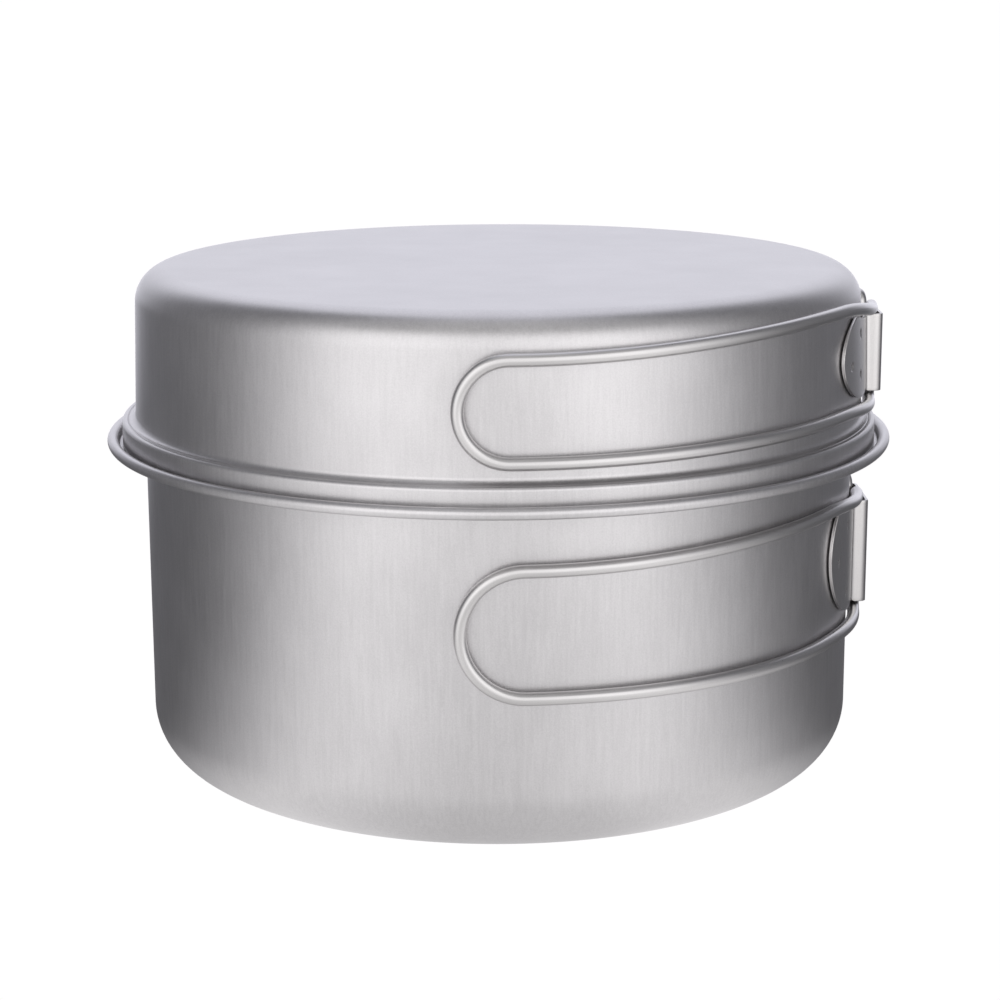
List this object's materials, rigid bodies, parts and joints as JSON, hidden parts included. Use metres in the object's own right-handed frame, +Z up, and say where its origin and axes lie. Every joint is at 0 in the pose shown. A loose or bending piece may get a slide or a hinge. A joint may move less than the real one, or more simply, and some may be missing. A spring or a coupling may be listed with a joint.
{
  "type": "camping cook set",
  "caption": "Round sheet-metal camping pot closed by an upturned frying pan that serves as its lid, each with folding wire handles hinged in a welded bracket.",
  "frame": {"origin": "centre of the pot's flat underside, on the surface it stands on", "axes": "+Z up along the axis of the pot and the pan; +X towards the two brackets; the front handles lie on the -Y side and the rear handles on the +Y side"},
  "size_m": [0.1552, 0.1552, 0.0991],
  "materials": {
    "vessel": "bare titanium, bead blasted, matt to satin",
    "bracket": "bare titanium sheet, satin, slightly brighter than the vessels",
    "wire": "titanium wire, satin",
    "weld": "spot weld mark, satin, slightly darker"
  },
  "bodies": {
    "pot": {"pot_body": "vessel", "pot_bracket": "bracket", "pot_weld_front_lower": "weld", "pot_weld_front_outer": "weld", "pot_weld_front_upper": "weld", "pot_weld_rear_lower": "weld", "pot_weld_rear_outer": "weld", "pot_weld_rear_upper": "weld"},
    "pan": {"pan_body": "vessel", "pan_bracket": "bracket", "pan_weld_front_lower": "weld", "pan_weld_front_outer": "weld", "pan_weld_front_upper": "weld", "pan_weld_rear_lower": "weld", "pan_weld_rear_outer": "weld", "pan_weld_rear_upper": "weld"},
    "pot_front": {"pot_handle_front": "wire"},
    "pot_rear": {"pot_handle_rear": "wire"},
    "pan_front": {"pan_handle_front": "wire"},
    "pan_rear": {"pan_handle_rear": "wire"}
  },
  "joints": [
    {"name": "pan_lift", "type": "slide", "parent": "pot", "child": "pan", "axis": [0, 0, 1], "range_m": [0, 0.12]},
    {"name": "pot_front_fold", "type": "hinge", "parent": "pot", "child": "pot_front", "pos_m": [0.07134, -0.00609, 0.04265], "axis": [0, 0, 1], "range_deg": [0, 90]},
    {"name": "pot_rear_fold", "type": "hinge", "parent": "pot", "child": "pot_rear", "pos_m": [0.07134, 0.00609, 0.04265], "axis": [0, 0, -1], "range_deg": [0, 90]},
    {"name": "pan_front_fold", "type": "hinge", "parent": "pan", "child": "pan_front", "pos_m": [0.07311, -0.00609, 0.0826], "axis": [0, 0, 1], "range_deg": [0, 90]},
    {"name": "pan_rear_fold", "type": "hinge", "parent": "pan", "child": "pan_rear", "pos_m": [0.07311, 0.00609, 0.0826], "axis": [0, 0, -1], "range_deg": [0, 90]}
  ]
}
